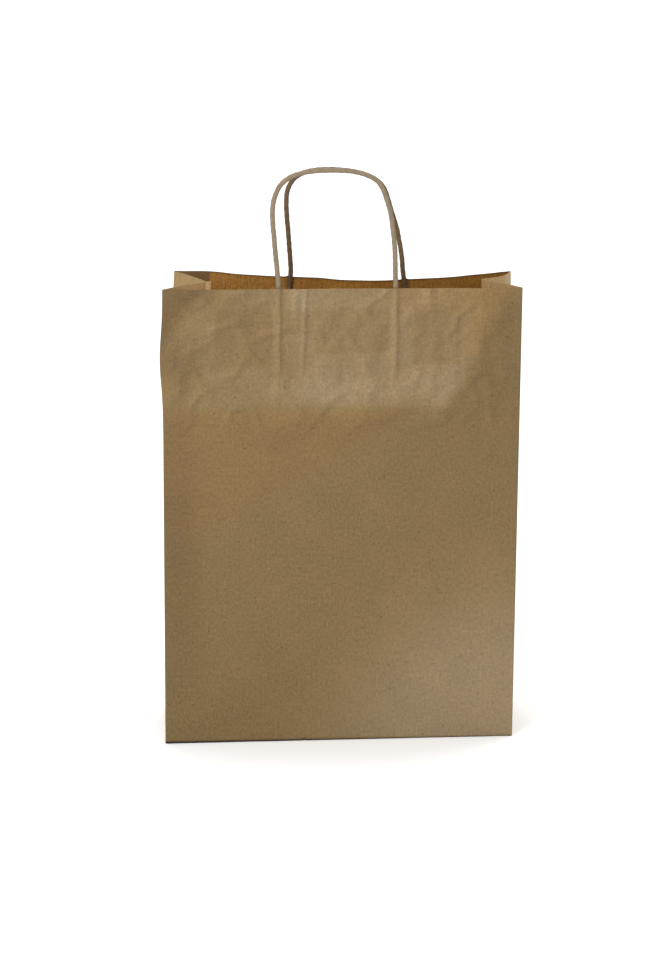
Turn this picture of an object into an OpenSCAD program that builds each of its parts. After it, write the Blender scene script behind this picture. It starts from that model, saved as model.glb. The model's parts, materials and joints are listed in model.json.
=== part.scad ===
// Paper carrier bag with two twisted paper cord handles.
// Millimetres. The origin is the middle of the base, +Z is up and the front panel faces -Y.

/* [Bag] */
// Width of the front and back panels
bag_w = 320; // [260:1:400]
// Depth of the base, from front to back
bag_d = 120; // [100:1:160]
// Length of a panel from the base fold to the rim
bag_h = 410; // [340:1:480]
// Thickness of one layer of paper
sheet = 0.3; // [0.2:0.1:0.5]

/* [Mouth] */
// How far the front rim stands in from the front base fold
front_lean = 18; // [6:1:24]
// How far the back rim corners stand in from the back base fold
back_lean = 6.5; // [4:0.5:24]
// How far the middle of the back rim bows towards the front
back_bow = 34; // [10:1:36]
// How far the back rim stands to the right of the back base fold
back_shift = 10; // [-12:0.5:12]

/* [Handles] */
// Thickness of the twisted paper cord
cord_d = 4.5; // [3:0.1:5]
// Distance between the two legs of one handle
leg_gap = 104; // [90:1:120]
// How far the front handle sits right of the middle
front_handle_x = -5.5; // [-10:0.5:10]
// How far the back handle sits right of the middle of the back panel
back_handle_x = 0; // [-10:0.5:10]
// Height of the front handle above the rim
front_loop_h = 104; // [90:1:120]
// Height of the back handle above the rim
back_loop_h = 96; // [90:1:120]
// Tilt of the front handle towards the back
front_loop_tilt = 2; // [0:0.5:3]
// Tilt of the back handle towards the front
back_loop_tilt = 4; // [0:0.5:5]
// How far the front handle sways to the left as it rises
front_sway = 5; // [0:0.5:8]
// How far the back handle sways to the left as it rises
back_sway = 7; // [0:0.5:8]

/* [Handle patches] */
// Width of the paper strips that hold a handle
patch_w = 218; // [180:1:240]
// Height of the paper strips that hold a handle
patch_h = 60; // [40:1:80]
// Distance from the rim down to the patch
patch_drop = 17; // [10:1:30]

/* [Glued laps] */
// Width of the long glued side seam
seam_w = 30; // [15:1:40]
// Length of the side tucks under the base
tuck_l = 66; // [40:1:90]
// How far each base flap reaches past the middle of the base
flap_overlap = 14; // [8:1:25]

/* [Hidden] */

kraft = [0.76, 0.57, 0.39];
kraft_inside = [0.70, 0.50, 0.32];
kraft_cord = [0.72, 0.53, 0.35];

cord_r = cord_d / 2;
front_tilt = asin(front_lean / bag_h);
rim_z = bag_h * cos(front_tilt);
body_gap = 0.35;       // between pieces that move against each other
base_gap = 1;          // between the base and the foot of each wall
glue_gap = 0.1;        // between curved layers of one wall
bow_power = 1.6;       // how late the back panel starts to bow as it rises
leg_rise = 8;          // height above the rim at which a cord bends
leg_cover = 3;         // patch left below the end of a leg
bump_half_w = 6.5;     // half width of the ridge that a cord makes in a patch
loop_square = 4.8;     // squareness of a loop: 2 is an ellipse
loop_bulge = 0.5;      // how far a loop widens above the rim
loop_steps = 44;
cord_sides = 10;
sway_full = 0.65;      // share of a loop's height over which it sways

// ---- the four walls as formulas ----

function rise(z) = z / rim_z;
function front_y(z) = -bag_d / 2 + front_lean * rise(z);
function back_corner_y(z) = bag_d / 2 - back_lean * rise(z);
function bow(z) = back_bow * pow(rise(z), bow_power);
// A bowed panel keeps its length, so its corners draw in
function back_corner_x(z) = bag_w / 2 - 4 / 3 * pow(bow(z), 2) / bag_w;
// Depth of the back wall at height z, across being measured from the wall's own middle
function back_y(across, z) = back_corner_y(z) - bow(z) * (1 - pow(across / back_corner_x(z), 2));
function back_x(across, z) = across + back_shift * rise(z);
// The corners that a gusset joins, and its middle crease, which sinks in as far as its own width allows.
// side is -1 on the left and 1 on the right.
function front_corner(side, z) = [side * bag_w / 2, front_y(z)];
function back_corner(side, z) = [back_x(side * back_corner_x(z), z), back_corner_y(z)];
function crease(side, z) =
    let (
        front = front_corner(side, z),
        back = back_corner(side, z),
        apart = norm(back - front),
        along = (back - front) / apart,
        sink = sqrt(max(0, pow(bag_d / 2, 2) - pow(apart / 2, 2)))
    )
    (front + back) / 2 - side * sink * [along[1], -along[0]];

// A closed thin solid between two surfaces given over u and v from 0 to 1
module shell(outer, inner, us, vs) {
    nu = len(us);
    nv = len(vs);
    n = nu * nv;
    at = function(i, j) j * nu + i;
    points = concat([for (v = vs) for (u = us) outer(u, v)], [for (v = vs) for (u = us) inner(u, v)]);
    skin = [for (j = [0:nv - 2]) for (i = [0:nu - 2]) each [
        [at(i, j), at(i + 1, j + 1), at(i + 1, j)],
        [at(i, j), at(i, j + 1), at(i + 1, j + 1)]
    ]];
    rim = concat(
        [for (i = [0:nu - 1]) at(i, 0)],
        [for (j = [1:nv - 1]) at(nu - 1, j)],
        [for (i = [nu - 2:-1:0]) at(i, nv - 1)],
        [for (j = [nv - 2:-1:1]) at(0, j)]
    );
    m = len(rim);
    edge = [for (k = [0:m - 1]) each [
        [rim[k], rim[(k + 1) % m], rim[(k + 1) % m] + n],
        [rim[k], rim[(k + 1) % m] + n, rim[k] + n]
    ]];
    back = [for (t = skin) [t[0] + n, t[2] + n, t[1] + n]];
    polyhedron(points = points, faces = concat(skin, back, edge), convexity = 6);
}

function steps(n) = [for (i = [0:n]) i / n];

// ---- frames of the two walls ----

// The front wall's own frame: x along the base fold, y into the bag, z up the panel
module on_front() {
    translate([0, -bag_d / 2, 0]) rotate([-front_tilt, 0, 0]) children();
}

// ---- the paper ----

module front_panel() {
    color(kraft) on_front() translate([-bag_w / 2, 0, 0]) cube([bag_w, sheet, bag_h]);
}

// A layer on the back wall, from depth near(across) inside its outer face and one sheet thick
module back_layer(across_at, z0, z1, near, us, vs) {
    z_at = function(v) z0 + (z1 - z0) * v;
    point = function(u, v, deep)
        let (z = z_at(v), a = across_at(u, z)) [back_x(a, z), back_y(a, z) - near(a) - deep, z];
    shell(
        function(u, v) point(u, v, sheet),
        function(u, v) point(u, v, 0),
        us, vs
    );
}

module back_panel() {
    across = function(u, z) back_corner_x(z) * (2 * u - 1);
    color(kraft) back_layer(across, 0, rim_z, function(a) 0, steps(32), steps(20));
}

module side_seam_lap() {
    edge = 3;
    across = function(u, z) edge + seam_w * u - back_corner_x(z);
    color(kraft_inside)
        back_layer(across, edge, rim_z, function(a) sheet + glue_gap, steps(4), steps(20));
}

// One half of a gusset, from near a corner to the middle crease. Its face towards the bag's inside
// lies to the left of its run from the corner if `turn` is 1, and to the right if it is -1.
module gusset_half(side, corner, turn) {
    run = function(z) crease(side, z) - corner(z);
    along = function(u, z) corner(z) + u * run(z);
    inward = function(z) let (r = run(z)) turn * sheet * [-r[1], r[0]] / norm(r);
    outer = function(u, v) let (z = v * rim_z, p = along(u, z)) [p[0], p[1], z];
    inner = function(u, v) let (z = v * rim_z, p = along(u, z) + inward(z)) [p[0], p[1], z];
    if (turn > 0) shell(outer, inner, steps(6), steps(24));
    else shell(inner, outer, steps(6), steps(24));
}

corner_gap = 2 * sheet + body_gap;     // between the middle of a corner and the edge of a gusset half

module gusset_front(side) {
    color(kraft) gusset_half(side, function(z) front_corner(side, z) + [0, corner_gap], side);
}

module gusset_back(side) {
    color(kraft) gusset_half(side, function(z) back_corner(side, z) - [0, corner_gap], -side);
}

module left_gusset_front() gusset_front(-1);
module left_gusset_back() gusset_back(-1);
module right_gusset_front() gusset_front(1);
module right_gusset_back() gusset_back(1);

// ---- the folded base, outermost layer first ----

base_half_w = bag_w / 2 - sheet - base_gap;
base_half_d = bag_d / 2 - sheet - base_gap;

// A base flap hinged at the front fold, with its ends cut at 45 degrees
module base_flap(level) {
    reach = base_half_d + flap_overlap;
    translate([0, 0, level * sheet]) linear_extrude(sheet) polygon([
        [-base_half_w, -base_half_d],
        [base_half_w, -base_half_d],
        [base_half_w - reach, flap_overlap],
        [reach - base_half_w, flap_overlap]
    ]);
}

module base_tuck() {
    translate([-base_half_w, -base_half_d, 2 * sheet])
        cube([tuck_l, 2 * base_half_d, sheet]);
}

module bottom_back_flap() color(kraft) mirror([0, 1, 0]) base_flap(0);
module bottom_front_flap() color(kraft) base_flap(1);
module bottom_left_tuck() color(kraft_inside) base_tuck();
module bottom_right_tuck() color(kraft_inside) mirror([1, 0, 0]) base_tuck();

// ---- the handle patches: two strips with the cord glued between them ----

patch_top = bag_h - patch_drop;
patch_foot = patch_top - patch_h;
leg_foot = patch_foot + leg_cover;

module front_patch_outer() {
    color(kraft_inside) on_front()
        translate([front_handle_x - patch_w / 2, sheet, patch_foot])
        cube([patch_w, sheet, patch_h]);
}

// Height of a strip over the cord, x being measured from the middle of the handle
function ridge(x) =
    let (d = min(abs(x - leg_gap / 2), abs(x + leg_gap / 2)) / bump_half_w)
    (cord_d + sheet) * max(0, 1 - d * d);

// Places across a patch, closer together where it rises over a leg
function ridge_places() =
    let (
        ridge = [for (k = [-4:4]) leg_gap / 2 + bump_half_w * k / 4],
        edge = patch_w / 2,
        half_middle = leg_gap / 2 - bump_half_w,
        strip = edge - leg_gap / 2 - bump_half_w
    )
    concat(
        [for (i = [0:4]) strip * i / 5 - edge], [for (i = [8:-1:0]) -ridge[i]],
        [for (i = [1:8]) half_middle * (i / 4.5 - 1)],
        ridge, [for (i = [4:-1:0]) edge - strip * i / 5]
    );

module front_patch_inner() {
    low = 2 * sheet;
    xs = ridge_places();
    top = [for (x = xs) [x, low + ridge(x) + sheet]];
    under = [for (i = [len(xs) - 1:-1:0]) [xs[i], low + ridge(xs[i])]];
    color(kraft_inside) on_front() translate([front_handle_x, 0, patch_foot])
        linear_extrude(patch_h) polygon(concat(top, under));
}

module back_patch_outer() {
    across = function(u, z) back_handle_x + patch_w * (u - 0.5);
    color(kraft_inside)
        back_layer(across, patch_foot, patch_top, function(a) sheet + glue_gap, steps(22), steps(6));
}

module back_patch_inner() {
    places = [for (x = ridge_places()) x / patch_w + 0.5];
    across = function(u, z) back_handle_x + patch_w * (u - 0.5);
    near = function(a) 2 * (sheet + glue_gap) + ridge(a - back_handle_x);
    color(kraft_inside) back_layer(across, patch_foot, patch_top, near, places, steps(6));
}

// ---- the handles ----

leg_depth = 2 * sheet + cord_r;                      // of a leg's middle inside the front wall
back_leg_depth = 2 * (sheet + glue_gap) + cord_r + glue_gap;
pivot_h = bag_h + leg_rise;
bend_clear = cord_r + 1.2;                           // from a bend's middle to the face of its leg

// A leg whose top is cut at 45 degrees, so that the loop can fold down over it to the front (out = -1)
// or to the back (out = 1). `long` reaches from its foot to the middle of the bend.
module leg(long, out) {
    face = long - bend_clear * sqrt(2);
    difference() {
        cylinder(h = face + cord_r, d = cord_d, $fn = 24);
        translate([0, 0, face]) rotate([-45 * out, 0, 0])
            translate([-cord_d, -2 * cord_d, 0]) cube([2 * cord_d, 4 * cord_d, 2 * cord_d]);
    }
}

module front_handle_legs() {
    color(kraft_cord) on_front()
        for (side = [-1, 1])
            translate([front_handle_x + side * leg_gap / 2, leg_depth, leg_foot])
            leg(pivot_h - leg_foot, -1);
}

// Middle of a back leg at height z, straight through two places on the wall
back_leg_across = function(side) back_handle_x + side * leg_gap / 2;
back_leg_top = function(side) back_y(back_leg_across(side), rim_z) - back_leg_depth;
back_leg_low = function(side) back_y(back_leg_across(side), leg_foot) - back_leg_depth;
back_leg_slope = function(side) (back_leg_top(side) - back_leg_low(side)) / (rim_z - leg_foot);
back_leg_y = function(side, z) back_leg_low(side) + back_leg_slope(side) * (z - leg_foot);

module back_handle_legs() {
    color(kraft_cord)
        for (side = [-1, 1])
            translate([back_x(back_leg_across(side), leg_foot), back_leg_y(side, leg_foot), leg_foot])
            rotate([-atan(back_leg_slope(side)), atan(back_shift / rim_z), 0])
            leg(pivot_h - leg_foot, 1);
}

// Middle line of a loop of height h, from its right bend to its left bend
function loop_point(a, h, sway) =
    let (
        c = cos(a),
        z = h * pow(sin(a), 2 / loop_square),
        out = sign(c) * pow(abs(c), 2 / loop_square),
        half = leg_gap / 2 + loop_bulge * sin(180 * z / h),
        lean = sway * sin(90 * min(z / (sway_full * h), 1))
    )
    [out * half - lean, z];

// Angles that spread the points evenly along the squarish loop, for s from 0 to 0.5
function half_angle(s) = atan(pow(tan(180 * s), loop_square / 2));
function loop_angle(s) = s < 0.5 ? half_angle(s) : 180 - half_angle(1 - s);

function unit(v) = v / norm(v);

// A tube of the cord's thickness along a flat line of points in x and z
module cord(line) {
    n = len(line);
    heading = [for (i = [0:n - 1]) unit(line[min(i + 1, n - 1)] - line[max(i - 1, 0)])];
    points = [for (i = [0:n - 1]) for (k = [0:cord_sides - 1])
        let (a = 360 * k / cord_sides, side = cord_r * cos(a))
        [line[i][0] + side * heading[i][1], cord_r * sin(a), line[i][1] - side * heading[i][0]]];
    wall = [for (i = [0:n - 2]) for (k = [0:cord_sides - 1])
        let (p = i * cord_sides + k, q = i * cord_sides + (k + 1) % cord_sides)
        each [[p, q, q + cord_sides], [p, q + cord_sides, p + cord_sides]]];
    last = (n - 1) * cord_sides;
    start_cap = [for (k = [cord_sides - 1:-1:0]) k];
    end_cap = [for (k = [0:cord_sides - 1]) last + k];
    polyhedron(points = points, faces = concat(wall, [start_cap, end_cap]), convexity = 6);
}

module loop(h, sway) {
    rise_h = h - leg_rise;
    line = [for (i = [0:loop_steps]) loop_point(loop_angle(i / loop_steps), rise_h, sway)];
    cord(line);
}

module front_handle_loop() {
    color(kraft_cord) on_front()
        translate([front_handle_x, leg_depth, pivot_h])
        rotate([-front_loop_tilt, 0, 0])
        loop(front_loop_h, front_sway);
}

module back_handle_loop() {
    middle_y = (back_leg_y(-1, pivot_h) + back_leg_y(1, pivot_h)) / 2;
    color(kraft_cord)
        translate([back_x(back_handle_x, pivot_h), middle_y, pivot_h])
        rotate([back_loop_tilt, 0, 0])
        loop(back_loop_h, back_sway);
}

front_panel();
back_panel();
side_seam_lap();
left_gusset_front();
left_gusset_back();
right_gusset_front();
right_gusset_back();
bottom_left_tuck();
bottom_right_tuck();
bottom_front_flap();
bottom_back_flap();
front_patch_outer();
front_patch_inner();
back_patch_outer();
back_patch_inner();
front_handle_legs();
back_handle_legs();
front_handle_loop();
back_handle_loop();
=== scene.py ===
"""Kraft paper carrier bag with two twisted paper cord handles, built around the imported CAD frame.

Metres, in the CAD frame: the origin is the middle of the base, +Z is up and the front panel faces -Y.
"""
import json
import math

import bpy
import numpy as np
from mathutils import Matrix, Vector, noise


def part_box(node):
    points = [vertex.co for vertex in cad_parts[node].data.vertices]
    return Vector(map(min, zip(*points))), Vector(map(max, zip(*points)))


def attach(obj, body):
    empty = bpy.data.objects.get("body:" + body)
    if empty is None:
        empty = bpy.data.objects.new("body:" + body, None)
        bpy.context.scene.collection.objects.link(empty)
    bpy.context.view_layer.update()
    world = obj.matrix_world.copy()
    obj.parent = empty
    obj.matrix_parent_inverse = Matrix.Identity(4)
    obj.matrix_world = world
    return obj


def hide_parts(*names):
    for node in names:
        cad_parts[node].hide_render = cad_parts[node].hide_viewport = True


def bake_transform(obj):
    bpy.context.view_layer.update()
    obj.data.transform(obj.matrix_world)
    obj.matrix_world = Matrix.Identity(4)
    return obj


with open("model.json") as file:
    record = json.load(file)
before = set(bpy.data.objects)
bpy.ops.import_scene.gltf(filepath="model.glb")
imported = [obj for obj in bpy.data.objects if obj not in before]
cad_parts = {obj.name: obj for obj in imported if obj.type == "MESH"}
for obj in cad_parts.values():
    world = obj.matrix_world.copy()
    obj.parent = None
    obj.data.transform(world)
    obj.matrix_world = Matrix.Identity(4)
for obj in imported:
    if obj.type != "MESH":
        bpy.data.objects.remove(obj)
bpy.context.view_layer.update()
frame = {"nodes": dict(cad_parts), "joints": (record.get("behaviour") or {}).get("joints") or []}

MM = 0.001

# ---- the shape of the bag, read from the frame ----


def node_points(name):
    """All corners of a CAD node's mesh."""
    return np.array([v.co for v in frame["nodes"][name].data.vertices], float)


def size_of(name):
    """The width, depth and height of a CAD node."""
    low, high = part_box(name)
    return high - low


panel_low, panel_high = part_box("front_panel")
back_points = node_points("back_panel")
SHEET = size_of("bottom_back_flap").z
HALF_W = panel_high.x
HALF_D = -panel_low.y
RIM_Z = back_points[:, 2].max()
rim_points = back_points[back_points[:, 2] > RIM_Z - 0.01 * MM]
FRONT_LEAN = panel_high.y - SHEET + HALF_D
BACK_LEAN = HALF_D - rim_points[:, 1].max()
BACK_BOW = np.ptp(rim_points[:, 1]) - SHEET
BACK_RIM_HALF = np.ptp(rim_points[:, 0]) / 2
BACK_SHIFT = (rim_points[:, 0].max() + rim_points[:, 0].min()) / 2
TILT = math.atan2(FRONT_LEAN, RIM_Z)
PANEL_H = RIM_Z / math.cos(TILT)
BOW_POWER = 1.6
joints = {j["name"]: j for j in frame["joints"]}

CORD_D = 4.5 * MM
CORD_R = CORD_D / 2
legs_low, legs_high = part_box("front_handle_legs")
LEG_GAP = legs_high.x - legs_low.x - CORD_D
FRONT_X = (legs_low.x + legs_high.x) / 2

patch_low, patch_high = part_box("front_patch_outer")
PATCH_HIGH = (patch_high.z - SHEET * math.sin(TILT)) / math.cos(TILT)
PATCH_LOW = patch_low.z / math.cos(TILT)
PATCH_W = size_of("front_patch_outer").x
LEG_FOOT = PATCH_LOW + 3 * MM
BACK_X = joints["back_handle_swing"]["pos_m"][0] - BACK_SHIFT

# ---- small departures of the real paper from the plain CAD ----

FOLD_R = 1.0 * MM          # radius of a folded corner
BASE_CREASE = 61 * MM      # a faint crease across both walls, from packing the bag flat
FOOT_R = 2.4 * MM          # radius of the fold where a wall turns under the base
BASE_IN = 2.2 * MM         # how far each base corner stands in from the rim corner above it
BULGE_OUT = 2.6 * MM       # the left front corner swells a little below the rim
BULGE_Z = RIM_Z - 62 * MM
BULGE_H = 30 * MM
PAINTED_CONTACT_SHADOW_H = 2.4 * MM       # painted contact shadow: the paper is darkened this far up from the floor
GUSSET_FOOT = 1.2 * MM     # the gussets start above the floor, so they clear it as the walls move
CREASE_OUT = {1: 4.5 * MM, -1: -1.7 * MM}    # each gusset's crease stands out by this much at the rim
TAB = 4.5 * MM             # pinched end of the left gusset's middle crease
TAB_GAP = 0.25 * MM        # half of the room between the two layers there
SEAM_W = 30 * MM
BASE_SHIFT = 9 * MM        # the base isn't quite square: its back edge lies to the right of its front one
LEFT_IN = 2.7 * MM         # the back left rim corner stands in by this much more
# How far the back rim stands behind and above its plain bow (mm), evenly from left corner to right
RIM_OUT = (4.5, 9.5, 6, 3.5, 1.5, -6.5, -9, -6, -6, -2, 0.5)
RIM_UP = (1.3, 2.1, 0.8, 0.5, 0.3, -1.0, -1.3, -1.0, -1.0, -0.3, 0.1)


def smooth(x, start, end):
    """0 before start, 1 after end and a smooth step between them."""
    t = np.clip((np.asarray(x, float) - start) / (end - start), 0, 1)
    return t * t * (3 - 2 * t)


def bell(x, middle, half_width):
    """1 at the middle, falling smoothly to about a third at half_width away."""
    return np.exp(-(((np.asarray(x, float) - middle) / half_width) ** 2))


def ripple(points, scale, seed, octaves=3):
    """Smooth noise between -1 and 1 at each point, with features about `scale` metres wide."""
    flat = np.asarray(points, float).reshape(-1, 3) / scale
    shift = Vector((seed * 7.13, seed * 3.71, seed * 5.37))
    values = [noise.fractal(Vector(p) + shift, 1.0, 2.0, octaves) for p in flat]
    return np.array(values).reshape(np.asarray(points).shape[:-1])


def creases(points, scale, seed):
    """Sharp crest lines between 0 and 1, as on crumpled paper."""
    off_crest = np.sqrt(ripple(points, scale, seed, 2) ** 2 + 0.004) - 0.063
    return np.clip(1 - 3.2 * off_crest, 0, 1) ** 1.5


# ---- the corner lines of the bag, as seen from above at height z ----


def front_y(z):
    """Depth of the front wall, which leans back a little."""
    return -HALF_D + FRONT_LEAN * z / RIM_Z


def back_corner_y(z):
    """Depth of the back corners, without the rim's unevenness."""
    return HALF_D - BACK_LEAN * z / RIM_Z


def bow(z):
    """How far the middle of the back wall is drawn forward."""
    return BACK_BOW * np.maximum(z / RIM_Z, 0) ** BOW_POWER


def back_half(z):
    """Half of the bowed back wall's width. Its paper keeps its length, so the bow draws it in."""
    return HALF_W - 4 / 3 * bow(z) ** 2 / (2 * HALF_W)


def swell(side, z):
    """How far a front corner stands out from the CAD's straight one, towards its own side."""
    left = BULGE_OUT * bell(z, BULGE_Z, BULGE_H) if side < 0 else 0
    return left - BASE_IN * (1 - z / RIM_Z)


def along_rim(values, share):
    """A smooth curve through values spaced evenly from the left corner (share -1) to the right one."""
    places = np.linspace(-1, 1, len(values))
    weight = np.exp(-(((np.asarray(share)[..., None] - places) / 0.12) ** 2))
    return MM * (weight * values).sum(-1) / weight.sum(-1)


def back_offset(values, across, z):
    """A departure given at the rim, which dies away down the wall."""
    return along_rim(values, across / back_half(z)) * (z / RIM_Z) ** 3


def back_right(z, share=0.0):
    """How far the back wall stands to the right at height z."""
    drawn_in = LEFT_IN * (z / RIM_Z) ** 3 * smooth(-np.asarray(share), 0, 1)
    return BASE_SHIFT + (BACK_SHIFT - BASE_SHIFT) * z / RIM_Z + drawn_in


def corner(wall, side, z):
    """A corner's place, the direction along its wall out to it, and the direction into the bag."""
    z = np.asarray(z, float)
    if wall == "front":
        place = np.stack([side * (HALF_W + swell(side, z)), front_y(z)], -1)
        slope = np.zeros_like(z)
        inward = 1
    else:
        x = side * (back_half(z) - BASE_IN * (1 - z / RIM_Z)) + back_right(z, side)
        place = np.stack([x, back_corner_y(z) + back_offset(RIM_OUT, side * back_half(z), z)], -1)
        slope = 2 * bow(z) / back_half(z)
        inward = -1
    along = np.stack([side * np.ones_like(z), slope], -1)
    along /= np.linalg.norm(along, axis=-1, keepdims=True)
    into = inward * side * np.stack([-along[..., 1], along[..., 0]], -1)
    return place, along, into


def crease(side, z):
    """The middle crease of a gusset, which sinks in as far as the gusset's own width allows."""
    front, back = corner("front", side, z)[0], corner("back", side, z)[0]
    apart = np.linalg.norm(back - front, axis=-1, keepdims=True)
    run = (back - front) / apart
    sink = np.sqrt(np.maximum(HALF_D**2 - (apart / 2) ** 2, 0))
    shallow = CREASE_OUT[side] * smooth(z, 0.5 * RIM_Z, RIM_Z)[..., None]
    return (front + back) / 2 - side * (sink - shallow) * np.stack([run[..., 1], -run[..., 0]], -1)


def fold(wall, side, z, share):
    """The rounded corner in plan: share 0 is where the wall ends, and 1 is where the gusset starts."""
    place, along, into = corner(wall, side, z)
    run = crease(side, z) - place
    run /= np.maximum(np.linalg.norm(run, axis=-1, keepdims=True), 1e-9)
    turn = np.arccos(np.clip((run * along).sum(-1), -1, 1)) * share
    start = place - FOLD_R * along
    return start + FOLD_R * (np.sin(turn)[..., None] * along + (1 - np.cos(turn))[..., None] * into)


# ---- relief of the two walls ----


def leg_ridges(x, s, middle, height):
    """The cord shows through the paper as an upright ridge at each leg."""
    down = smooth(s, LEG_FOOT - 14 * MM, LEG_FOOT + 10 * MM)
    legs = sum(bell(x, middle + side * LEG_GAP / 2, 2.2 * MM) for side in (-1, 1))
    return height * down * legs


def slanting_edge(x):
    """Height of the edge below the front's patch, which slants down to the left."""
    return PANEL_H - 142 * MM + 0.55 * x


def facet(x, s):
    """Share of a shallow swelling below the front patch: 1 on its crest, 0 at its edges."""
    top = PATCH_LOW + 4 * MM
    crest = PATCH_LOW - 28 * MM
    lower = np.minimum(slanting_edge(x), crest - 8 * MM)
    climb = np.clip((top - s) / (top - crest), 0, 1)
    fall = np.clip((s - lower) / (crest - lower), 0, 1)
    sides = smooth(x, -HALF_W, -HALF_W + 70 * MM) * smooth(x, 118 * MM, 70 * MM)
    return np.minimum(climb, fall) * sides


def above_corner_line(x, s):
    """Distance above the slanting line that cuts off the front's turned top left corner."""
    return (s - (PANEL_H - 57 * MM) - 1.34 * (x + HALF_W)) / 1.67


def from_streak(x, s):
    """Distance to the right of the raised line near the front's right edge."""
    down = np.clip((PANEL_H - s) / (100 * MM), 0, 1.3)
    return x - (131 * MM - 14 * MM * down - 26 * MM * down**2)


def patch_area(x, s):
    """1 over the front's glued patch and 0 beside it."""
    across = smooth(np.abs(x - FRONT_X), PATCH_W / 2 + 2 * MM, PATCH_W / 2 - 2 * MM)
    low = smooth(s, PATCH_LOW - 2 * MM, PATCH_LOW + 2 * MM)
    return across * low * smooth(s, PATCH_HIGH + 2 * MM, PATCH_HIGH - 2 * MM)


def front_relief(x, s):
    """How far the front wall stands out from its plain plane."""
    edge = smooth(HALF_W - np.abs(x), 0, 12 * MM) * smooth(s, 0, 14 * MM)
    points = np.stack([x, 0 * x, s], -1)
    near_patch = smooth(s, PATCH_LOW - 70 * MM, PATCH_LOW - 10 * MM)
    second_crease = bell(x, FRONT_X - LEG_GAP / 2 + 21 * MM + 0.04 * (s - PATCH_LOW), 1.9 * MM)
    upper = smooth(s, PATCH_LOW - 10 * MM, PATCH_LOW + 25 * MM)
    turned_corner = bell(above_corner_line(x, s), -14 * MM, 20 * MM) * smooth(x, -70 * MM, -110 * MM)
    streak = bell(from_streak(x, s), 0, 14 * MM) * smooth(s, PANEL_H - 150 * MM, PANEL_H - 100 * MM)
    belly = bell(s, 0.45 * PANEL_H, 0.3 * PANEL_H) * bell(x, 20 * MM, 120 * MM)
    relief = (
        leg_ridges(x, s, FRONT_X, 2.1 * MM)
        + 1.5 * MM * second_crease * upper
        + 0.5 * MM * patch_area(x, s)
        + 2.6 * MM * facet(x, s)
        + 2.2 * MM * turned_corner
        + 1.3 * MM * streak
        + 1.2 * MM * belly
        - 0.15 * MM * bell(s, BASE_CREASE, 1.2 * MM) * smooth(x, -20 * MM, 90 * MM)
        + (0.9 * MM * near_patch + 0.35 * MM) * ripple(points, 45 * MM, 1)
        + (0.45 * MM * near_patch + 0.06 * MM) * ripple(points, 14 * MM, 2)
        + 1.5 * MM * near_patch * creases(points, 34 * MM, 9)
    )
    return relief * edge


def front_wall(x, s, depth=0.0, flat=False):
    """Points on the front wall: x across, s up the panel and depth behind its outer face."""
    x, s = np.broadcast_arrays(np.asarray(x, float), np.asarray(s, float))
    out = (0 if flat else front_relief(x, s)) - depth
    z = s * math.cos(TILT)
    swollen = BULGE_OUT * bell(z, BULGE_Z, BULGE_H) * smooth(-x / HALF_W, 0.55, 1)
    stretch = 1 + (swollen - BASE_IN * (1 - z / RIM_Z)) / HALF_W
    y = -HALF_D + s * math.sin(TILT) - out * math.cos(TILT)
    return np.stack([x * stretch, y, z + out * math.sin(TILT)], -1)


def back_relief(across, z):
    """How far the back wall stands out from its plain bow."""
    edge = smooth(back_half(z) - np.abs(across), 0, 12 * MM) * smooth(z, 0, 14 * MM)
    points = np.stack([across, 0 * across + 0.3, z], -1)
    near_rim = smooth(z, PATCH_LOW - 40 * MM, RIM_Z)
    relief = (
        leg_ridges(across, z, BACK_X, 0.7 * MM)
        + (0.5 * MM * near_rim + 0.15 * MM) * ripple(points, 50 * MM, 3)
        + 0.05 * MM * ripple(points, 14 * MM, 4)
        - 0.12 * MM * bell(z, BASE_CREASE, 1.3 * MM)
        + 1.5 * MM * bell(z, 0.35 * RIM_Z, 0.25 * RIM_Z) * bell(across, 0, 110 * MM)
        - 0.16 * MM * smooth(across, 3 * MM - back_half(z), 2 * MM - back_half(z))
    )
    return relief * edge


def back_wall(across, z, depth=0.0, flat=False):
    """Points on the back wall: across from its own middle, at height z, and depth behind its outer face."""
    across, z = np.broadcast_arrays(np.asarray(across, float), np.asarray(z, float))
    half = back_half(z)
    out = (0 if flat else back_relief(across, z)) - depth
    slope = 2 * bow(z) * across / half**2
    long = np.sqrt(1 + slope**2)
    x = across * (1 - BASE_IN / HALF_W * (1 - z / RIM_Z)) + back_right(z, across / half)
    y = back_corner_y(z) - bow(z) * (1 - (across / half) ** 2) + back_offset(RIM_OUT, across, z)
    lift = back_offset(RIM_UP, across, z) + leg_ridges(across, z, BACK_X, 1.3 * MM) * (z / RIM_Z) ** 8
    return np.stack([x - out * slope / long, y + out / long, z + lift], -1)


# ---- materials ----

RIB_GAP = 2.3 * MM         # the paper's fine upright ribs
GRAIN_DEPTH = 0.12 * MM    # depth of the bump that stands for fibres
PAPER_GLOSS = 0.3


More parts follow.
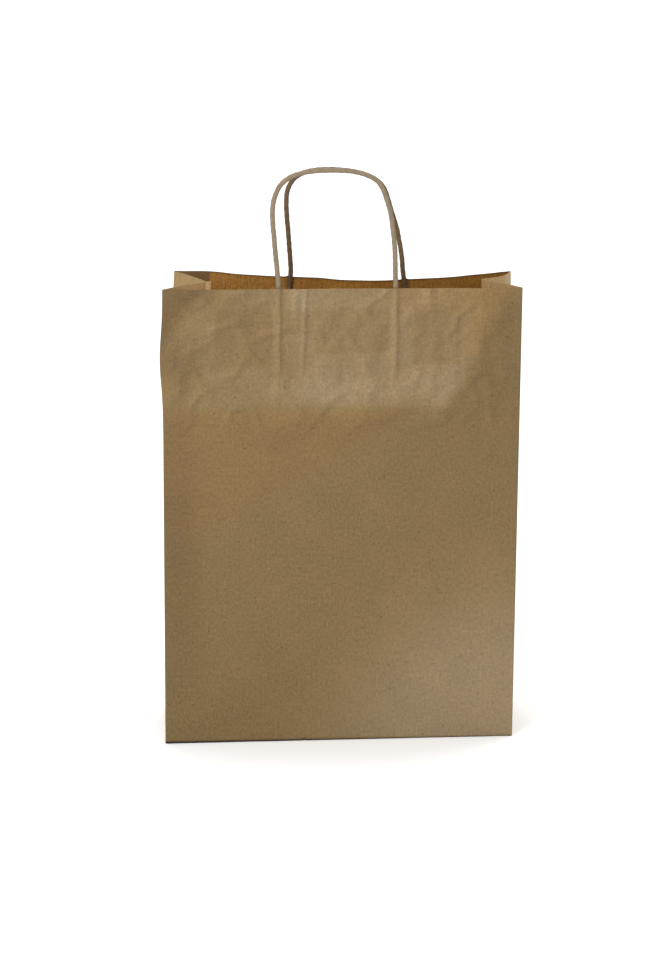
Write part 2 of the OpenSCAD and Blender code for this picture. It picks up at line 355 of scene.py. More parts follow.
class Nodes:
    """A short way to write a material's nodes."""

    def __init__(self, name):
        self.material = bpy.data.materials.new(name)
        self.material.use_nodes = True
        self.tree = self.material.node_tree
        self.tree.nodes.clear()

    def add(self, kind, inputs=(), **settings):
        """A new node. Each input is a link or a value."""
        made = self.tree.nodes.new("ShaderNode" + kind)
        for key, value in settings.items():
            setattr(made, key, value)
        for key, value in dict(inputs).items():
            if isinstance(value, bpy.types.NodeSocket):
                self.tree.links.new(value, made.inputs[key])
            else:
                made.inputs[key].default_value = value
        return made

    def maths(self, operation, a, b=0.0):
        """The result of one operation on two values."""
        return self.add("Math", {0: a, 1: b}, operation=operation).outputs[0]

    def total(self, first, *others):
        """The sum of all the values."""
        for other in others:
            first = self.maths("ADD", first, other)
        return first

    def product(self, first, *others):
        """All the values multiplied."""
        for other in others:
            first = self.maths("MULTIPLY", first, other)
        return first

    def between(self, value, low, high, new_low, new_high):
        """The value with low..high spread over new_low..new_high, and cut off outside it."""
        inputs = {"Value": value, "From Min": low, "From Max": high, "To Min": new_low, "To Max": new_high}
        return self.add("MapRange", inputs).outputs[0]

    def swing(self, noise, amount):
        """Noise as a change of up to `amount` either way."""
        return self.between(noise, 0.3, 0.7, -amount, amount)

    def stretched(self, vector, scale):
        """The vector with each of its axes scaled."""
        return self.add("Mapping", {"Vector": vector, "Scale": scale}).outputs[0]

    def noise(self, vector, scale, detail, roughness=0.5):
        """Noise around 0.5, with features about 1 / scale metres wide."""
        inputs = {"Vector": vector, "Scale": scale, "Detail": detail, "Roughness": roughness}
        return self.add("TexNoise", inputs).outputs["Fac"]

    def attribute(self, name):
        """A value stored at the points of the mesh."""
        return self.add("Attribute", attribute_name=name)

    def finish(self, colour, roughness, height):
        """The material, with its height as a bump."""
        bump = self.add("Bump", {"Height": height, "Distance": GRAIN_DEPTH, "Strength": 1.0}).outputs[0]
        shader = self.add("BsdfPrincipled", {"Base Color": colour, "Roughness": roughness, "Normal": bump})
        shader.inputs["Specular IOR Level"].default_value = PAPER_GLOSS
        output = self.add("OutputMaterial")
        self.tree.links.new(shader.outputs[0], output.inputs[0])
        return self.material


def specks(n, flat):
    """Sparse dark specks of bark, and pale fibres: a factor on the lightness for each."""
    spots = n.add("TexVoronoi", {"Vector": n.stretched(flat, (1, 1.6, 1)), "Scale": 150.0})
    dark = n.between(spots.outputs["Distance"], 0.06, 0.18, 0.5, 1.0)
    chosen = n.between(n.noise(flat, 110, 1), 0.55, 0.59, 0.0, 1.0)
    dark = n.total(n.product(n.maths("SUBTRACT", dark, 1.0), chosen), 1.0)
    pale_spots = n.add("TexVoronoi", {"Vector": n.stretched(flat, (2.4, 1, 1)), "Scale": 95.0})
    return dark, n.between(pale_spots.outputs["Distance"], 0.03, 0.08, 1.16, 1.0)


def kraft(name, colour, ribs, warm=None, mottle=1.0):
    """Unbleached kraft paper: cloudy formation, fibres both ways, flecks of bark and fine ribs.
    warm is its colour where the mesh's glow paints light that shines through it, and where the glow is below
    0 it turns paler, as a painted sheen. The lightness stored on the mesh brings painted light and shade.
    Light that shines through it from behind makes it more mottled."""
    n = Nodes(name)
    flat = n.add("TexCoord").outputs["UV"]
    cloud = n.noise(flat, 26, 3, 0.6)
    cross_fibre = n.noise(n.stretched(flat, (90, 1500, 1)), 1.0, 3, 0.65)
    up_fibre = n.noise(n.stretched(flat, (1300, 75, 1)), 1.0, 3, 0.65)
    grain = n.noise(flat, 900, 2, 0.6)
    fleck = n.noise(n.stretched(flat, (430, 330, 1)), 1.0, 2, 0.7)
    streak = n.noise(n.stretched(flat, (430, 60, 1)), 1.0, 3, 0.6)
    across = n.add("SeparateXYZ", {0: flat}).outputs[0]
    rib = n.maths("SINE", n.product(across, 2 * math.pi / RIB_GAP))
    # lightness stored on the mesh: the paper's plain lightness, with painted light and shade
    tone_and_painted_light = n.attribute("tone_and_painted_light").outputs["Fac"]
    glow = n.attribute("glow").outputs["Fac"]
    shade = n.total(
        n.between(cloud, 0.3, 0.7, 0.93, 1.06), n.swing(cross_fibre, 0.055), n.swing(up_fibre, 0.05),
        n.swing(grain, 0.09 * mottle), n.swing(fleck, 0.16 * mottle),
        n.product(rib, ribs), n.product(n.swing(streak, 1.0), 3 * ribs),
    )
    shade = n.product(shade, *specks(n, flat), tone_and_painted_light)
    mixed = n.add("Mix", {0: glow}, data_type="RGBA")
    mixed.inputs[6].default_value = (*colour, 1)
    mixed.inputs[7].default_value = (*(warm or colour), 1)
    # painted sheen: where the glow is below 0, the colour turns paler
    paled = n.add("Mix", {0: n.product(glow, -1.0), 6: mixed.outputs[2]}, data_type="RGBA")
    paled.inputs[7].default_value = (colour[0], colour[1] * 1.1, colour[2] * 1.58, 1)
    tinted = n.add("VectorMath", {0: paled.outputs[2], "Scale": shade}, operation="SCALE").outputs[0]
    height = n.total(
        n.product(cross_fibre, 0.6), n.product(up_fibre, 0.6),
        n.product(grain, 0.4), n.product(rib, 4 * ribs),
    )
    return n.finish(tinted, n.between(cloud, 0.3, 0.7, 0.56, 0.70), height)


def twisted_paper(name, colour):
    """The cord's paper: creases that follow the twist, and painted shade in the groove at each lap."""
    n = Nodes(name)
    place = n.attribute("along_twist").outputs["Vector"]
    streak = n.noise(n.stretched(place, (1500, 1500, 60)), 1.0, 3, 0.7)
    patchy = n.noise(n.stretched(place, (250, 250, 120)), 1.0, 2, 0.5)
    shade = n.total(n.between(streak, 0.3, 0.7, 0.86, 1.10), n.swing(patchy, 0.09))
    # painted shade in the groove where each lap of paper meets the next
    lap_groove_shade = n.between(n.attribute("lap").outputs["Fac"], 0.9, 1.0, 1.0, 0.62)
    tinted = n.add("VectorMath", {0: colour, "Scale": n.product(shade, lap_groove_shade)}, operation="SCALE")
    return n.finish(tinted.outputs[0], n.between(streak, 0.3, 0.7, 0.6, 0.8), streak)


# warm: the colour of painted light that shines through the front's paper
KRAFT = kraft("kraft_paper", (0.145, 0.0925, 0.0345), ribs=0.006, warm=(0.156, 0.092, 0.031))
KRAFT_INSIDE = kraft("kraft_paper_inside", (0.225, 0.142, 0.064), ribs=0.012)
# painted light: the inside of the back wall is a saturated orange, as light that shines through the paper
# from behind
KRAFT_BACKLIT = kraft("kraft_paper_backlit", (0.220, 0.098, 0.014), ribs=0.050, mottle=1.7)
# painted shade: the seam lap is darker where its double paper keeps out the light that shines through the
# back wall
KRAFT_SEAM_SHADED = kraft("kraft_paper_seam_shaded", (0.107, 0.057, 0.016), ribs=0.012)
CORD = twisted_paper("twisted_paper_cord", (0.190, 0.143, 0.090))
CORD_SHADED = twisted_paper("twisted_paper_cord_shaded", (0.095, 0.058, 0.024))


# The front's glued patch shows through it in broken blocks: left, right, bottom and top of each
PATCH_BLOCKS = [
    (FRONT_X - PATCH_W / 2, FRONT_X - LEG_GAP / 2 - 6 * MM, PATCH_LOW + 8 * MM, PATCH_HIGH),
    (FRONT_X - LEG_GAP / 2 + 6 * MM, FRONT_X - 20 * MM, PATCH_HIGH - 22 * MM, PATCH_HIGH - 2 * MM),
    (FRONT_X - 19 * MM, FRONT_X + LEG_GAP / 2 - 6 * MM, PATCH_HIGH - 40 * MM, PATCH_HIGH),
    (FRONT_X + LEG_GAP / 2 + 16 * MM, FRONT_X + PATCH_W / 2, PATCH_LOW + 10 * MM, PATCH_HIGH + 2 * MM),
]

# Small spots of painted light (+) and painted shade (-): middle, height, half width and half height in mm,
# and change
PAINTED_LIGHT_SPOTS = (
    (-5, 320, 48, 14, 0.16), (74, 327, 22, 12, 0.08), (-38, 403, 11, 22, 0.24), (76, 404, 16, 12, 0.14),
    (-121, 405, 17, 15, -0.16),
)


def spot(x, s, middle, height, half_width, half_height):
    """A soft round area, with its place and size in mm."""
    return bell(x, middle * MM, half_width * MM) * bell(s, height * MM, half_height * MM)


def front_painted_light(x, s):
    """Painted light and shade on the front, as a factor on its lightness: lighter where light falls on it,
    darker at its turned top left corner and left edge, a painted contact shadow at the floor, and darker
    blocks where the glued patch shows through.
    """
    blocks = 0
    for left, right, low, high in PATCH_BLOCKS:
        inside = smooth(x, left - 1 * MM, left + 1 * MM) * smooth(x, right + 1 * MM, right - 1 * MM)
        inside = inside * smooth(s, low - 1 * MM, low + 1 * MM) * smooth(s, high + 1 * MM, high - 1 * MM)
        blocks = np.maximum(blocks, inside)
    streak = from_streak(x, s)
    upper = smooth(s, 285 * MM, 318 * MM)
    near_rim = smooth(s, PANEL_H - 22 * MM, PANEL_H)
    low_right = smooth(x + 0.5 * (PANEL_H / 2 - s), 0, 190 * MM) * smooth(s, 0.55 * PANEL_H, 0.08 * PANEL_H)
    shown = (
        1
        + 0.17 * upper * smooth(x, 125 * MM, 95 * MM)
        + 0.11 * upper * smooth(x, -70 * MM, -20 * MM) * smooth(streak, 14 * MM, 0)
        + 0.12 * bell(streak, -3 * MM, 9 * MM) * smooth(s, PANEL_H - 125 * MM, PANEL_H - 95 * MM)
        + 0.14 * smooth(x, 130 * MM, 150 * MM) * near_rim
        - 0.06 * smooth(streak, 0, 16 * MM) * smooth(s, 230 * MM, 300 * MM)
        - 0.42 * smooth(above_corner_line(x, s), -4 * MM, 14 * MM)
        - 0.28 * smooth(x, -118 * MM, -146 * MM) * bell(s, PANEL_H - 62 * MM, 22 * MM)
        - 0.20 * smooth(x, -112 * MM, -150 * MM) * bell(s, 170 * MM, 130 * MM)
        + 0.50 * low_right
    )
    for *place, change in PAINTED_LIGHT_SPOTS:
        shown = shown + change * spot(x, s, *place)
    # painted contact shadow along the front's foot, taller on the left
    contact = PAINTED_CONTACT_SHADOW_H * (1 - 0.5 * x / HALF_W)
    return shown * (1 - 0.085 * blocks) - 0.95 * smooth(s, contact, 0.3 * contact)


def crease_shade(x, s):
    """The light's fall on the creases, as lightness: sides that face left and up are the lighter ones."""
    step = 1.0 * MM
    left = front_relief(x + step, s) - front_relief(x - step, s)
    up = front_relief(x, s - step) - front_relief(x, s + step)
    away_from_edge = smooth(HALF_W - np.abs(x), 4 * MM, 22 * MM)
    return 0.11 * np.tanh((left + 0.6 * up) / (2 * step) / 0.45) * away_from_edge


def front_glow(x, s):
    """Painted light that shines through the paper, seen as warmth, above 0, or a painted sheen, seen as
    paleness, below 0. It is warm in its painted dark areas and on the left, below the patch and above a
    slanting edge, where painted light shines through, and it is pale as a painted sheen where the light
    catches it."""
    below_patch = smooth(s, PATCH_LOW - 26 * MM, PATCH_LOW - 36 * MM)
    above_edge = smooth(s - slanting_edge(x), -18 * MM, 12 * MM)
    warm = below_patch * above_edge * smooth(x, 105 * MM, 60 * MM)
    warm = warm + 0.4 * smooth(x, 20 * MM, 70 * MM) * smooth(s, PANEL_H - 34 * MM, PANEL_H - 4 * MM)
    along_streak = bell(from_streak(x, s), 2 * MM, 14 * MM)
    warm = np.clip(warm + 0.6 * along_streak * smooth(s, PANEL_H - 80 * MM, PANEL_H - 35 * MM), 0, 1)
    shown = front_painted_light(x, s)
    return np.maximum(warm, 2.6 * np.clip(1 - shown, 0, 0.4)) - (1 - warm) * smooth(shown, 1.0, 1.5)


# ---- meshes ----


def store(mesh, label, kind, key, values):
    """Stores a value at each point of the mesh, for its material."""
    mesh.attributes.new(label, kind, "POINT").data.foreach_set(key, values.ravel().tolist())


def placed(name, mesh, materials):
    """An object in the scene, with its materials."""
    for material in materials:
        mesh.materials.append(material)
    piece = bpy.data.objects.new(name, mesh)
    bpy.context.scene.collection.objects.link(piece)
    return piece


# ---- paper pieces ----

ROWS = 190
COLUMNS = 190
GUSSET_COLUMNS = 44
PLAIN_TONE = 1.15          # lightness of the paper where nothing is said about it
FOLD_STEPS = (0.2, 0.4, 0.6, 0.8, 1.0)
# Where each wall lies on the unrolled sheet, so that its grain has its own place
UNROLLED = {
    "front": 0, "right": HALF_W + HALF_D, "back": 2 * (HALF_W + HALF_D), "left": -(HALF_W + HALF_D),
    "strip": 3.0, "tuck": -2.0,
}


def heights(top, foot=0.0):
    """Rows up a wall, closer together in the small fold at its foot."""
    fine = foot + np.array([0, 0.15, 0.4, 0.8, 1.5, 3.0]) * MM
    return np.concatenate([fine, np.linspace(fine[-1], top, ROWS)[1:]])


def sheet_faces(rows, columns):
    """The quads of a grid of points, and the points around its border in order."""
    index = np.arange(rows * columns).reshape(rows, columns)
    quads = np.stack([index[:-1, :-1], index[:-1, 1:], index[1:, 1:], index[1:, :-1]], -1)
    ring = np.concatenate([index[0, :-1], index[:-1, -1], index[-1, :0:-1], index[:0:-1, 0]])
    return quads.reshape(-1, 4), ring


def paper(name, points, uv, outward, materials, tone_and_painted_light=None, glow=None, plain_inside=False):
    """A sheet of paper from the rows of points on its outer face, with its thickness on the inside."""
    rows, columns = points.shape[:2]
    normal = np.cross(np.gradient(points, axis=1), np.gradient(points, axis=0))
    normal /= np.maximum(np.linalg.norm(normal, axis=-1, keepdims=True), 1e-12)
    quads, ring = sheet_faces(rows, columns)
    if (normal * np.array(outward)).sum() < 0:
        normal = -normal
        quads, ring = quads[:, ::-1], ring[::-1]
    count = rows * columns
    inner = points - SHEET * normal
    after = np.roll(ring, -1)
    rim = np.stack([ring, ring + count, after + count, after], -1)
    faces = np.concatenate([quads, quads[:, ::-1] + count, rim])
    made = bpy.data.meshes.new(name)
    both_faces = np.concatenate([points.reshape(-1, 3), inner.reshape(-1, 3)])
    made.from_pydata(both_faces.tolist(), [], faces.tolist())
    made.polygons.foreach_set("use_smooth", [True] * len(faces))
    side = np.concatenate([np.zeros(len(quads)), np.ones(len(quads) + len(rim))]).astype(int)
    made.polygons.foreach_set("material_index", side.tolist())
    mark_border(made, ring, count)
    add_uv(made, np.tile(uv.reshape(-1, 2), (2, 1)))
    # the stored lightness carries painted light and shade, and the glow carries painted light shining
    # through and painted sheen
    for label, values, plain in (("tone_and_painted_light", tone_and_painted_light, PLAIN_TONE), ("glow", glow, 0.0)):
        plain = np.full(count, plain)
        outer_face = plain if values is None else values.ravel()
        both = np.concatenate([outer_face, plain if plain_inside else outer_face])
        store(made, label, "FLOAT", "value", both)
    return placed(name, made, materials)


def mark_border(mesh, ring, count):
    """Keeps the cut edge of a sheet crisp in shading."""
    on_border = np.zeros(2 * count, bool)
    on_border[ring] = on_border[ring + count] = True
    ends = np.zeros(2 * len(mesh.edges), np.int32)
    mesh.edges.foreach_get("vertices", ends)
    ends = ends.reshape(-1, 2)
    same_face = (ends[:, 0] < count) == (ends[:, 1] < count)
    sharp = on_border[ends].all(1) & same_face
    mesh.attributes.new("sharp_edge", "BOOLEAN", "EDGE").data.foreach_set("value", sharp.tolist())


def add_uv(mesh, uv):
    """Gives each corner of each face its point's place on the flat paper."""
    layer = mesh.uv_layers.new(name="paper")
    corners = np.zeros(len(mesh.loops), np.int32)
    mesh.loops.foreach_get("vertex_index", corners)
    layer.data.foreach_set("uv", uv[corners].ravel().tolist())


def foot_fold(points, z, into):
    """Draws the lowest rows in along a quarter circle, where the wall folds under the base."""
    low = np.clip(FOOT_R - z, 0, FOOT_R)
    points[..., 1] += into * (FOOT_R - np.sqrt(FOOT_R**2 - low**2))
    if into > 0:
        # a small kink in the front's bottom fold
        points[..., 2] += 1.0 * MM * bell(points[..., 0], -33 * MM, 1.8 * MM) * smooth(z, 16 * MM, 0)
    return points


def corner_lift(wall, side, z):
    """How far a corner stands above its plain height. Only the back's rim is uneven."""
    return back_offset(RIM_UP, side * back_half(z), z) if wall == "back" else 0 * z


def wall_sheet(wall, main, z):
    """A wall's grid: its main columns, with the two rounded corners added at its sides."""
    shown = [main]
    for side in (-1, 1):
        arcs = []
        for share in FOLD_STEPS:
            plan = fold(wall, side, z, share)
            arcs.append(np.concatenate([plan, (z + corner_lift(wall, side, z))[:, None]], -1)[:, None])
        arcs = np.concatenate(arcs, 1)
        shown = [arcs[:, ::-1], *shown] if side < 0 else [*shown, arcs]
    return foot_fold(np.concatenate(shown, 1), z[:, None], 1 if wall == "front" else -1)


def unrolled(across, z, extra=len(FOLD_STEPS)):
    """Places on the flat paper, for the grain of the material."""
    step = FOLD_R * 0.4
    low = across[:, :1] - step * np.arange(extra, 0, -1)
    high = across[:, -1:] + step * np.arange(1, extra + 1)
    u = np.concatenate([low, across, high], 1)
    return np.stack([u, np.broadcast_to(z[:, None], u.shape)], -1)


def make_front():
    """The front wall with its two folded corners."""
    s = heights(PANEL_H)
    x = np.broadcast_to(np.linspace(FOLD_R - HALF_W, HALF_W - FOLD_R, COLUMNS), (len(s), COLUMNS))
    main = front_wall(x, s[:, None])
    points = wall_sheet("front", main, s * math.cos(TILT))
    uv = unrolled(x, s)
    place = uv[..., 0], uv[..., 1]
    # painted light and shade on the front's outer face, and painted light on its creases
    tone_and_painted_light = front_painted_light(*place) * (1 + crease_shade(*place))
    materials = [KRAFT, KRAFT_INSIDE]
    return paper("front_panel_paper", points, uv, (0, -1, 0), materials, tone_and_painted_light, front_glow(*place), True)


def make_back():
    """The bowed back wall, with painted shade along its cut rim and a painted contact shadow where it meets
    the floor.
    """
    z = heights(RIM_Z)
    across = np.linspace(-1, 1, COLUMNS) * (back_half(z)[:, None] - FOLD_R)
    points = wall_sheet("back", back_wall(across, z[:, None]), z)
    uv = unrolled(across, z)
    # painted shade: a dark line along the cut rim
    tone_and_painted_light = PLAIN_TONE - 0.8 * smooth(uv[..., 1], RIM_Z - 2.4 * MM, RIM_Z - 1.0 * MM)
    # painted contact shadow along the back's foot
    tone_and_painted_light = tone_and_painted_light - 0.7 * smooth(uv[..., 1], PAINTED_CONTACT_SHADOW_H, 0)
    uv = uv + [UNROLLED["back"], 0]
    return paper("back_panel_paper", points, uv, (0, 1, 0), [KRAFT, KRAFT_BACKLIT], tone_and_painted_light)


# Lightness of each gusset half near the rim, where the light reaches it
GUSSET_TONE = {(1, "back"): 2.1, (1, "front"): 1.45, (-1, "back"): 1.6, (-1, "front"): 1.95}
# How far each gusset half bellies out (mm)
GUSSET_BELLY = {(1, "back"): 6.5, (1, "front"): 2.0, (-1, "back"): -1.2, (-1, "front"): 1.5}


def make_gusset(side, wall):
    """One half of a gusset, from the fold at its wall to the middle crease."""
    z = heights(RIM_Z, GUSSET_FOOT)
    q = np.linspace(0, 1, GUSSET_COLUMNS)
    start, end = fold(wall, side, z, 1), crease(side, z)
    run = end - start
    length = np.linalg.norm(run, axis=-1, keepdims=True)
    away = np.stack([run[:, 1], -run[:, 0]], -1) / length
    away *= np.where(away[:, :1] * side > 0, 1, -1)
    plan = start[:, None] + q[None, :, None] * run[:, None]
    up = smooth(z, 0, RIM_Z)[:, None]
    belly = GUSSET_BELLY[side, wall] * MM * up * np.sin(math.pi * q) ** 1.3
    lifted = z[:, None] + corner_lift(wall, side, z)[:, None] * (1 - q)
    points = np.concatenate([plan, lifted[..., None]], -1)
    window = smooth(q * (1 - q), 0, 0.08)
    belly = belly + window * (0.5 * MM * ripple(points, 50 * MM, 5) + 0.12 * MM * ripple(points, 15 * MM, 6))
    points[..., :2] += belly[..., None] * away[:, None]
    if side < 0:
        points = add_tab(points, z, end, wall)
    label = "left" if side < 0 else "right"
    direction = side if wall == "front" else -side
    u = UNROLLED[label] + direction * HALF_D * np.linspace(-1, 0, points.shape[1])
    uv = np.stack(np.broadcast_arrays(u, z[:, None]), -1)
    outward = (side, 1 if wall == "front" else -1, 0)
    lit = smooth(z, RIM_Z - 90 * MM, RIM_Z - 15 * MM)[:, None]
    tone_and_painted_light = PLAIN_TONE + (GUSSET_TONE[side, wall] - PLAIN_TONE) * lit * np.ones(points.shape[:2])
    return paper(f"{label}_gusset_{wall}_paper", points, uv, outward, [KRAFT, KRAFT_INSIDE], tone_and_painted_light)


def add_tab(points, z, end, wall):
    """The pinched tip of the left gusset: both halves run on side by side past the crease."""
    offset = TAB_GAP * (-1 if wall == "front" else 1)
    grown = TAB * smooth(z, 0.35 * RIM_Z, RIM_Z)
    extra = []
    for share in (0.25, 0.5, 0.75, 1.0):
        tip = np.stack([end[:, 0] + share * grown, end[:, 1] + offset * math.sin(math.pi * share), z], -1)
        extra.append(tip[:, None])
    return np.concatenate([points, *extra], 1)


def make_strip(name, wall, middle, low, high, width, material, over_legs=False, columns=161, rows=46):
    """A strip of paper glued on the inside of a wall. One that lies over a cord's legs rises over them."""
    s = np.linspace(low, high, rows)[:, None]
    x, s = np.broadcast_arrays(middle + np.linspace(-width / 2, width / 2, columns), s)
    at, relief = (front_wall, front_relief) if wall == "front" else (back_wall, back_relief)
    depth = SHEET
    if over_legs:
        depth = 2 * SHEET + (CORD_D + 0.3 * MM + relief(x, s)) * over_cord(x - middle)
    points = at(x, s, depth)
    uv = np.stack([x + UNROLLED["strip"], s], -1)
    outward = (0, -1, 0) if wall == "front" else (0, 1, 0)
    return paper(name, points, uv, outward, [material, material])


def over_cord(across):
    """1 over the two legs of a cord and 0 away from them."""
    near = np.minimum(np.abs(across - LEG_GAP / 2), np.abs(across + LEG_GAP / 2))
    return 1 - smooth(near, 1.4 * MM, 6.5 * MM)


def base_right(y):
    """How far the base is drawn to the right at depth y."""
    return BASE_SHIFT * (y + HALF_D) / (2 * HALF_D)


def make_flap(name, forward, level):
    """A base flap from its wall's foot past the middle, with its ends cut at 45 degrees.
    forward is 1 for the front wall's flap and -1 for the back's, and level counts layers from the floor."""
    low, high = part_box(name)
    reach = max(abs(low.y), abs(high.y)) + min(abs(low.y), abs(high.y))
    v = np.concatenate([[0, 0.01, 0.025], np.linspace(0.05, 1, 24)])[:, None]
    u = np.linspace(-1, 1, 60)
    inset = v * reach
    half = HALF_W - BASE_IN - 0.6 * MM - inset
    z = level * SHEET + SHEET + 0.25 * MM * smooth(v, 0.8, 1) * (1 + np.sin(9 * u)) / 2
    z = z + 0.9 * MM * (1 - smooth(v, 0, 0.03))
    y = -forward * (HALF_D - 1.0 * MM - inset)
    points = np.stack(np.broadcast_arrays(u * half + base_right(y), y, z), -1)
    uv = np.stack(np.broadcast_arrays(u * half, -inset), -1)
    return paper(name + "_paper", points, uv, (0, 0, 1), [KRAFT_INSIDE, KRAFT])


def make_tuck(name, side):
    """An inner side tuck of the glued base."""
    low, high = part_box(name)
    v = np.linspace(0, 1, 30)[:, None]
    u = np.linspace(-1, 1, 30)
    x = side * (HALF_W - BASE_IN - 1.2 * MM - v * (high.x - low.x))
    z = 3 * SHEET + 0.3 * MM * smooth(v, 0.7, 1) + 1.2 * MM * (1 - smooth(v, 0, 0.04))
    y = u * (HALF_D - 1.6 * MM)
    points = np.stack(np.broadcast_arrays(x + base_right(y), y, z), -1)
    uv = np.stack(np.broadcast_arrays(x, u * HALF_D + UNROLLED["tuck"]), -1)
    return paper(name + "_paper", points, uv, (0, 0, 1), [KRAFT_INSIDE, KRAFT])


def finish_paper(node):
    """Hides the CAD node whose place a sheet takes."""
    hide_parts(node)


# ---- twisted cord handles ----

# Each loop's middle line in mm, across from the handle's middle and up from its bend
FRONT_ROUTE = (
    (-52, -5), (-55, 29), (-57.5, 55), (-57, 69), (-51, 84), (-40, 91), (-26, 94.5), (-11, 96),
    (5, 96), (18, 94.5), (27, 91.5), (35, 88), (39.5, 82), (43.5, 71), (48, 57), (51, 28), (52, -5),
)
BACK_ROUTE = (
    (-50, -5), (-53, 26), (-56, 53), (-56, 70), (-52.5, 79.5), (-45, 86.5), (-32, 90), (-13, 91),
    (2, 90), (14, 87), (25, 82), (32, 75), (35.5, 65), (39, 52), (44, 37), (48.5, 14), (50, -5),
)
TWIST = 13 * MM            # length of one turn of the twisted paper
RING_SIDES = 20
RING_STEP = 1.1 * MM


def distances(line):
    """Each point's distance along the line."""
    return np.concatenate([[0], np.cumsum(np.linalg.norm(np.diff(line, axis=0), axis=1))])


def respaced(line, step):
    """The line with evenly spaced points, and each point's distance along it."""
    along = distances(line)
    at = np.linspace(0, along[-1], int(along[-1] / step) + 1)
    return np.stack([np.interp(at, along, line[:, k]) for k in range(3)], -1), at


def softened(line, width):
    """The line with its corners rounded by a moving average."""
    padded = np.concatenate([np.repeat(line[:1], width, 0), line, np.repeat(line[-1:], width, 0)])
    kernel = np.ones(2 * width + 1) / (2 * width + 1)
    soft = np.stack([np.convolve(padded[:, k], kernel, "valid") for k in range(3)], -1)
    soft[0], soft[-1] = line[0], line[-1]
    return soft


def handle_line(wall, middle, pivot, lean, route, seed):
    """The whole middle line of a cord: up one leg, round the loop and down the other leg."""
    across, up = np.array(route).T * MM
    y = pivot[1] + up * math.sin(lean)
    if wall == "back":
        # near the rim, the cord follows the uneven rim instead of the plain bow
        y = y + back_offset(RIM_OUT, middle + across, RIM_Z) * smooth(up, 45 * MM, 5 * MM)
    loop = np.stack([pivot[0] + across, y, pivot[2] + up * math.cos(lean)], -1)
    on_wall = front_wall if wall == "front" else back_wall
    s = np.linspace(LEG_FOOT, PANEL_H - 6 * MM, 20)
    depth = 2 * SHEET + CORD_R - 0.3 * MM
    left, right = (on_wall(middle + side * LEG_GAP / 2, s, depth, flat=True) for side in (-1, 1))
    line, along = respaced(np.concatenate([left, loop, right[::-1]]), 1 * MM)
    line = softened(softened(line, 6), 4)
    free = smooth(line[:, 2], pivot[2] + 6 * MM, pivot[2] + 30 * MM)
    knots = np.arange(0, along[-1] + 40 * MM, 15 * MM)
    for axis in (0, 1, 2):
        # slight kinks in the free part, with noise of its own along each axis
        kinks = [noise.noise(Vector((k * 23.7, seed, axis * 9.1))) for k in knots]
        line[:, axis] += 0.9 * MM * free * np.interp(along, knots, kinks)
    line, _ = respaced(line, RING_STEP)
    return softened(line, 2)


def ring_frames(line):
    """A side direction and an up direction at each point, carried along without twisting."""
    heading = np.gradient(line, axis=0)
    heading /= np.linalg.norm(heading, axis=1, keepdims=True)
    side = np.cross(heading[0], (0, 1, 0))
    sides = []
    for h in heading:
        side = side - h * (side @ h)
        side = side / np.linalg.norm(side)
        sides.append(side)
    sides = np.array(sides)
    return sides, np.cross(heading, sides)


def cord_mesh(name, line, material):
    """A tube with the stepped edges of a paper strip that was twisted into a cord."""
    sides, ups = ring_frames(line)
    along = distances(line)
    angle = np.linspace(0, 2 * math.pi, RING_SIDES, endpoint=False)
    phase = (angle[None] - 2 * math.pi * along[:, None] / TWIST) / (2 * math.pi)
    step = np.mod(phase * 2 + 0.15 * np.sin(2 * math.pi * phase), 1)
    around = np.broadcast_arrays(np.cos(angle), np.sin(angle), along[:, None] / (6 * MM))
    wobble = ripple(np.stack(around, -1), 1.0, 8, 2)
    radius = CORD_R * (0.93 + 0.11 * step**1.5 - 0.10 * smooth(step, 0.93, 1) + 0.035 * wobble)
    points = line[:, None] + radius[..., None] * (
        np.cos(angle)[None, :, None] * sides[:, None] + np.sin(angle)[None, :, None] * ups[:, None]
    )
    rings = len(line)
    index = np.arange(rings * RING_SIDES).reshape(rings, RING_SIDES)
    after = np.roll(index, -1, 1)
    walls = np.stack([index[:-1], after[:-1], after[1:], index[1:]], -1).reshape(-1, 4).tolist()
    caps = [index[0, ::-1].tolist(), index[-1].tolist()]
    made = bpy.data.meshes.new(name)
    made.from_pydata(points.reshape(-1, 3).tolist(), [], walls + caps)
    made.polygons.foreach_set("use_smooth", [True] * len(made.polygons))
    twisted = 2 * math.pi * phase
    place = np.stack([CORD_R * np.cos(twisted), CORD_R * np.sin(twisted), along[:, None] + 0 * phase], -1)
    store(made, "along_twist", "FLOAT_VECTOR", "vector", place)
    store(made, "lap", "FLOAT", "value", step)
    return placed(name, made, [material])


def make_handle(wall, middle, lean, route, seed, material):
    """A whole cord, in place of the CAD's loop and legs. It bends where they meet."""
    pivot = Vector(joints[wall + "_handle_swing"]["pos_m"])
    line = handle_line(wall, middle, pivot, lean, route, seed)
    piece = cord_mesh(wall + "_handle_cord", line, material)
    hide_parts(wall + "_handle_loop", wall + "_handle_legs")
    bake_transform(piece)


# ---- camera ----

CAMERA_ANGLES = (6.84, 12.64, 0.75)    # to the left of straight on, above level, and rolled
CAMERA_DISTANCE = 2.781
CAMERA_TARGET = Vector((-1.4 * MM, 0, 227.6 * MM))
CAMERA_FIELD = 17.79


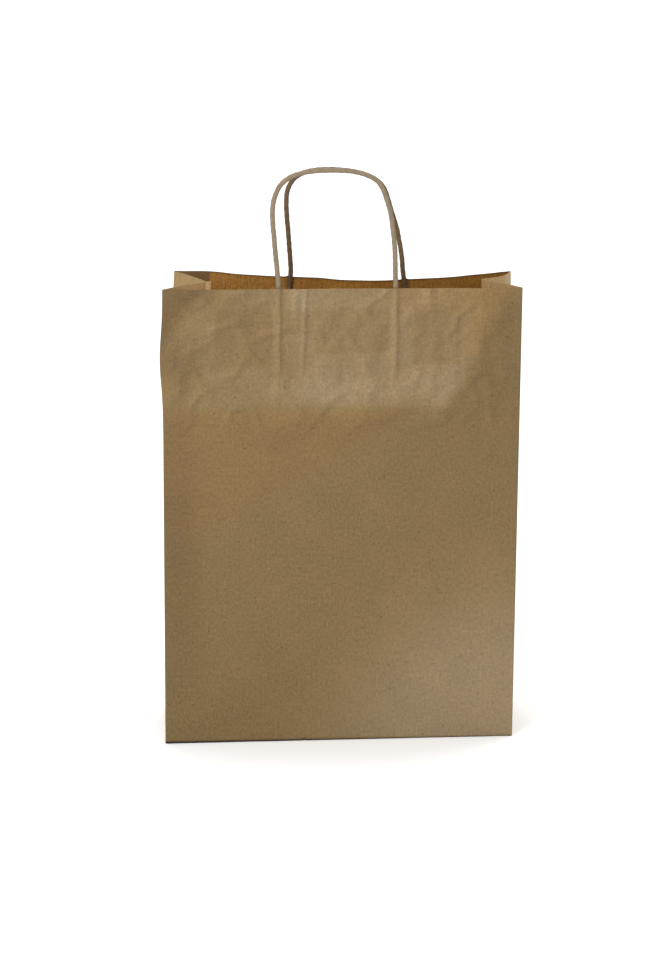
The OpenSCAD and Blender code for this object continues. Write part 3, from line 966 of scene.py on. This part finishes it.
def make_camera():
    """Looks at the bag from a little to its left and above, as the picture does."""
    turned, raised, rolled = (math.radians(a) for a in CAMERA_ANGLES)
    level = math.cos(raised)
    back = Vector((-math.sin(turned) * level, -math.cos(turned) * level, math.sin(raised)))
    right = (-back).cross(Vector((0, 0, 1))).normalized()
    up = back.cross(right)
    tilted_right = right * math.cos(rolled) + up * math.sin(rolled)
    tilted_up = up * math.cos(rolled) - right * math.sin(rolled)
    data = bpy.data.cameras.new("camera")
    camera = bpy.data.objects.new("camera", data)
    bpy.context.scene.collection.objects.link(camera)
    turn = Matrix((tilted_right, tilted_up, back)).transposed()
    camera.matrix_world = Matrix.Translation(CAMERA_TARGET + back * CAMERA_DISTANCE) @ turn.to_4x4()
    data.lens_unit = "FOV"
    data.angle = math.radians(CAMERA_FIELD)
    data.clip_end = 200
    bpy.context.scene.camera = camera


make_camera()

# ---- the pieces ----

make_handle("front", FRONT_X, TILT + math.radians(2), FRONT_ROUTE, 1.7, CORD)
make_handle("back", BACK_X, math.radians(-4), BACK_ROUTE, 5.3, CORD_SHADED)

front_panel = make_front()
back_panel = make_back()
for piece, node, body in ((front_panel, "front_panel", "front"), (back_panel, "back_panel", "back")):
    finish_paper(node)
    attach(piece, body)

for side, label in ((-1, "left"), (1, "right")):
    for wall in ("front", "back"):
        piece = make_gusset(side, wall)
        finish_paper(f"{label}_gusset_{wall}")
        z = RIM_Z / 2
        start, end = corner(wall, side, z)[0], crease(side, z)
        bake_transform(piece)

for wall, middle in (("front", FRONT_X), ("back", BACK_X)):
    for layer in ("outer", "inner"):
        node = f"{wall}_patch_{layer}"
        over_legs = layer == "inner"
        patch = (wall, middle, PATCH_LOW, PATCH_HIGH, PATCH_W, KRAFT_INSIDE, over_legs)
        piece = make_strip(node + "_paper", *patch)
        finish_paper(node)
        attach(piece, wall)

seam_middle = 1.2 * MM + SEAM_W / 2 - BACK_RIM_HALF
lap = make_strip(
    "side_seam_lap_paper", "back", seam_middle, 3 * MM, RIM_Z - 0.2 * MM, SEAM_W,
    KRAFT_SEAM_SHADED, columns=24, rows=120,
)
finish_paper("side_seam_lap")
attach(lap, "back")

for name, forward, level in (("bottom_back_flap", -1, 0), ("bottom_front_flap", 1, 1)):
    piece = make_flap(name, forward, level)
    finish_paper(name)
    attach(piece, "base")
for name, side in (("bottom_left_tuck", -1), ("bottom_right_tuck", 1)):
    piece = make_tuck(name, side)
    finish_paper(name)
    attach(piece, "base")

# ---- floor and light ----


def make_floor():
    """A plain pale floor without gloss."""
    bpy.ops.mesh.primitive_plane_add(size=60, location=(0, 10, 0))
    floor = bpy.context.object
    floor.name = "floor"
    material = bpy.data.materials.new("floor_white")
    material.use_nodes = True
    shader = material.node_tree.nodes["Principled BSDF"]
    shader.inputs["Base Color"].default_value = (0.89, 0.89, 0.88, 1)
    shader.inputs["Roughness"].default_value = 1.0
    shader.inputs["Specular IOR Level"].default_value = 0.0
    floor.data.materials.append(material)


def add_light(data, place, back):
    """A light at a place, shining away from the direction `back`."""
    light = bpy.data.objects.new(data.name, data)
    light.rotation_mode = "QUATERNION"
    light.rotation_quaternion = back.to_track_quat("Z", "Y")
    light.location = place
    bpy.context.scene.collection.objects.link(light)


def make_light():
    """Even white surroundings, a soft light from above and behind, and a small key light."""
    world = bpy.data.worlds.new("studio")
    world.use_nodes = True
    background = world.node_tree.nodes["Background"]
    background.inputs["Color"].default_value = (1, 1, 1, 1)
    background.inputs["Strength"].default_value = 1.0
    bpy.context.scene.world = world
    sun_data = bpy.data.lights.new("overhead_sun", "SUN")
    sun_data.energy = 1.5
    sun_data.angle = math.radians(42)
    add_light(sun_data, Vector((0, 0, 3)), Vector((0.24, 0.6, 1.15)))
    key_data = bpy.data.lights.new("key_light", "AREA")
    key_data.energy = 11.5
    key_data.size = 0.4
    place = Vector((-0.7, -1.0, 1.1))
    add_light(key_data, place, place - Vector((0, -0.05, 0.3)))
    bpy.context.scene.view_settings.view_transform = "Standard"


make_floor()
make_light()
